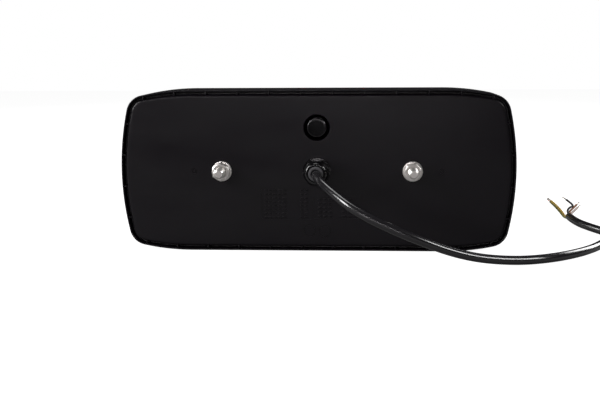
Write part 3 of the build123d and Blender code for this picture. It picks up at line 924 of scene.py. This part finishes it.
def make_gland_body():
    """Hexagon with a round flange, the threaded end in the housing and the stub for the cap."""
    corner = gland_flats / sqrt(3)
    hexagon = prism(6, corner, hexagon_back, hexagon_front, (0, 0), 0)
    crown = lathe(
        [
            (0, hexagon_back), (gland_flats / 2 - 0.2 * mm, hexagon_back),
            (corner + 0.2 * mm, hexagon_back + 1 * mm), (corner + 0.2 * mm, hexagon_front),
            (0, hexagon_front),
        ],
        (0, 0), 96,
    )
    body = boolean(hexagon, crown, "INTERSECT")
    flange = [
        (gland_bore, flange_back), (flange_radius - 0.3 * mm, flange_back),
        (flange_radius - 0.05 * mm, flange_back + 0.25 * mm), (flange_radius, flange_back + 0.5 * mm),
        (flange_radius, flange_front - 0.2 * mm), (flange_radius - 0.2 * mm, flange_front),
        (gland_bore, flange_front),
    ]
    append(body, lathe(flange, (0, 0), 96))
    stub = [
        (seal_radius, stub_back), (stub_radius - 0.2 * mm, stub_back),
        (stub_radius, stub_back + 0.2 * mm), (stub_radius, stub_front), (seal_radius, stub_front),
    ]
    append(body, lathe(stub, (0, 0), 64))
    thread = threaded_rod(
        gland_thread_radius, gland_thread_pitch, gland_thread_depth, gland_thread_back,
        gland_thread_front, (0, 0), 40,
    )
    envelope = lathe(
        [
            (gland_bore, gland_thread_back), (gland_thread_radius + 0.05 * mm, gland_thread_back),
            (gland_thread_radius + 0.05 * mm, gland_thread_front - 1 * mm),
            (gland_thread_radius - 0.9 * mm, gland_thread_front), (gland_bore, gland_thread_front),
        ],
        (0, 0), 64,
    )
    append(body, boolean(thread, envelope, "INTERSECT"))
    piece("gland_lower", body, looks["gland_nylon"], replaces=["gland_body"], smooth=28)


def make_gland_cap():
    """Domed hexagon nut that squeezes the seal."""
    corner = gland_flats / sqrt(3)
    back, front = cap_back, cap_front
    opening = 6.25 * mm
    bore = 7.48 * mm
    shoulder = back + 2.8 * mm
    chamfer = 0.5 * mm
    hexagon = prism(6, corner, back - 0.5 * mm, front, (0, 0), 0)
    crown = [
        (0, back), *[(radius * mm, back + rise * mm) for radius, rise in dome_profile],
        (flange_radius, front - 0.6 * mm), (flange_radius - 0.8 * mm, front), (0, front),
    ]
    cap = boolean(hexagon, lathe(crown, (0, 0), 120), "INTERSECT")
    hollow = [
        (0, back - 1 * mm), (opening + chamfer + 1 * mm, back - 1 * mm), (opening, back + chamfer),
        (opening, shoulder), (bore, shoulder), (bore, front + 1 * mm), (0, front + 1 * mm),
    ]
    cap = boolean(cap, lathe(hollow, (0, 0), 72))
    bmesh.ops.remove_doubles(cap, verts=cap.verts[:], dist=2e-6)
    piece("gland_dome_nut", cap, looks["gland_nylon"], body="gland_cap", replaces=["gland_cap"], smooth=28)


def make_gland_seal():
    """Soft bush round the cable, with a rounded lip."""
    back = seal_back
    inner = cable_radius + 0.02 * mm
    lip = seal_radius - 0.05 * mm
    profile = [
        (inner, back + 0.5 * mm), (inner + 0.3 * mm, back + 0.1 * mm), (inner + 0.7 * mm, back),
        (lip - 0.9 * mm, back), (lip - 0.4 * mm, back + 0.15 * mm), (lip - 0.1 * mm, back + 0.5 * mm),
        (lip, back + 1.0 * mm), (lip, seal_front), (inner, seal_front),
    ]
    bush = lathe(profile, (0, 0), 64)
    piece("gland_bush", bush, looks["gland_rubber"], replaces=["gland_seal"], smooth=50)


# ---------------------------------------------------------------- lens
lens_wall = 2.6 * mm
lens_edge = 8 * mm
tongue_tip = 13.6 * mm


def make_lens():
    """One shell with a tongue for the housing's channel, cut into its three colours."""
    straight_front = lens_front - lens_edge
    whole = slab(0, housing_front, straight_front)
    work_face(whole, 1, quarter_round(lens_edge, 1))
    tongue_length = housing_front - tongue_tip
    inner_edge = lens_edge - lens_wall
    work_face(
        whole, -1,
        [
            (tongue_outer, 0),
            (0, -tongue_length),
            (lens_wall - tongue_outer, 0),
            (0, straight_front - housing_front + tongue_length),
            *quarter_round(inner_edge, 1),
        ],
    )
    sections = {"amber": (None, -lens_split), "red": (-lens_split, lens_split), "clear": (lens_split, None)}
    for colour, (low, high) in sections.items():
        part = whole.copy()
        for limit, direction in ((low, -1), (high, 1)):
            if limit is None:
                continue
            cut = bmesh.ops.bisect_plane(
                part, geom=part.verts[:] + part.edges[:] + part.faces[:], plane_co=(limit, 0, 0),
                plane_no=(direction, 0, 0), clear_outer=True, dist=1e-7,
            )
            edges = [e for e in cut["geom_cut"] if isinstance(e, bmesh.types.BMEdge)]
            bmesh.ops.edgenet_fill(part, edges=edges)
        bmesh.ops.recalc_face_normals(part, faces=part.faces[:])
        name = f"lens_{colour}"
        piece(f"{name}_shell", part, looks[name], replaces=[name], smooth=40)
    whole.free()


# ---------------------------------------------------------------- finishes of the CAD pieces that stay
def finish_cad_nodes():
    slots = {part["node"]: part["material_slot"] for part in frame["record"]["subparts"]}
    for node, obj in frame["nodes"].items():
        obj.data.materials.clear()
        obj.data.materials.append(looks[slots[node]])


# ---------------------------------------------------------------- floor, backdrop and light
floor_front = -0.36
floor_back = 3.0
floor_side = 3.0


def make_stage():
    """Plain pale floor, paler to the eye than to the lamp's own reflections."""
    bm = bmesh.new()
    bmesh.ops.create_grid(bm, x_segments=1, y_segments=1, size=1)
    bmesh.ops.scale(bm, verts=bm.verts[:], vec=(floor_side, (floor_back - floor_front) / 2, 1))
    moved(bm, (0, (floor_back + floor_front) / 2, floor_z))
    floor = as_object(bm, "pale_floor")
    look = finish_look("pale_floor", (0.26, 0.26, 0.26), (0.24, 0.24, 0.24), 0.7, grain=40, drift=2, bump=0)
    nodes, links = look.node_tree.nodes, look.node_tree.links
    nodes["Principled BSDF"].inputs["Specular IOR Level"].default_value = 0.1
    seen = nodes.new("ShaderNodeEmission")
    seen.inputs["Strength"].default_value = 0.96
    lit = nodes.new("ShaderNodeAddShader")
    path = nodes.new("ShaderNodeLightPath")
    mix = nodes.new("ShaderNodeMixShader")
    links.new(nodes["Principled BSDF"].outputs["BSDF"], lit.inputs[0])
    links.new(seen.outputs["Emission"], lit.inputs[1])
    links.new(path.outputs["Is Camera Ray"], mix.inputs["Fac"])
    links.new(nodes["Principled BSDF"].outputs["BSDF"], mix.inputs[1])
    links.new(lit.outputs["Shader"], mix.inputs[2])
    links.new(mix.outputs["Shader"], nodes["Material Output"].inputs["Surface"])
    floor.data.materials.append(look)


def area_light(name, place, target, size, radiance, color=(1, 1, 1), roll=0.0):
    """Rectangular soft light; radiance is what a mirror would show of it."""
    data = bpy.data.lights.new(name, "AREA")
    data.shape = "RECTANGLE"
    data.size, data.size_y = size
    data.energy = radiance * pi * size[0] * size[1]
    data.color = color
    obj = bpy.data.objects.new(name, data)
    bpy.context.scene.collection.objects.link(obj)
    aim = (Vector(target) - Vector(place)).to_track_quat("-Z", "Y").to_matrix().to_4x4()
    obj.matrix_world = Matrix.Translation(place) @ aim @ Matrix.Rotation(radians(roll), 4, "Z")
    obj.visible_camera = False


def make_light():
    """White surroundings for the eye, dim ones for the light, and soft boxes round the lamp."""
    world = bpy.data.worlds.new("studio")
    bpy.context.scene.world = world
    world.use_nodes = True
    nodes, links = world.node_tree.nodes, world.node_tree.links
    seen = nodes["Background"]
    seen.inputs["Color"].default_value = (1, 1, 1, 1)
    dim = nodes.new("ShaderNodeBackground")
    dim.inputs["Color"].default_value = (0.95, 0.96, 1, 1)
    dim.inputs["Strength"].default_value = 0.014
    path = nodes.new("ShaderNodeLightPath")
    mix = nodes.new("ShaderNodeMixShader")
    links.new(path.outputs["Is Camera Ray"], mix.inputs["Fac"])
    links.new(dim.outputs["Background"], mix.inputs[1])
    links.new(seen.outputs["Background"], mix.inputs[2])
    links.new(mix.outputs["Shader"], nodes["World Output"].inputs["Surface"])
    middle = (0, 0, 0)
    warm = (1.0, 0.95, 0.99)
    area_light("top_box", (-0.1, 0.25, 1.2), middle, (0.45, 0.6), 3.5)
    area_light("left_box", (-1.08, -0.62, 0.60), middle, (0.32, 0.70), 20)
    area_light("right_box", (1.10, -0.62, 0.72), middle, (0.24, 0.50), 16)
    area_light("slanted_strip", (-0.14, -0.94, 0.22), (0.03, 0, 0), (0.74, 0.035), 13, warm, roll=-26)
    area_light("left_card", (-0.62, -0.95, 0.10), middle, (0.30, 0.30), 1.6, warm)
    for side in (-1, 1):
        area_light(f"lens_box_{side + 1}", (side * 1.3, 1.0, 0.7), middle, (0.8, 0.8), 9)
    bpy.context.scene.view_settings.view_transform = "Standard"


make_camera()
make_cable()
make_housing()
make_studs()
for side, sign in (("left", -1), ("right", 1)):
    make_washer(side, sign * stud_x)
    make_nut(side, sign * stud_x)
make_vent()
make_gland_body()
make_gland_cap()
make_gland_seal()
make_lens()
finish_cad_nodes()
make_stage()
make_light()
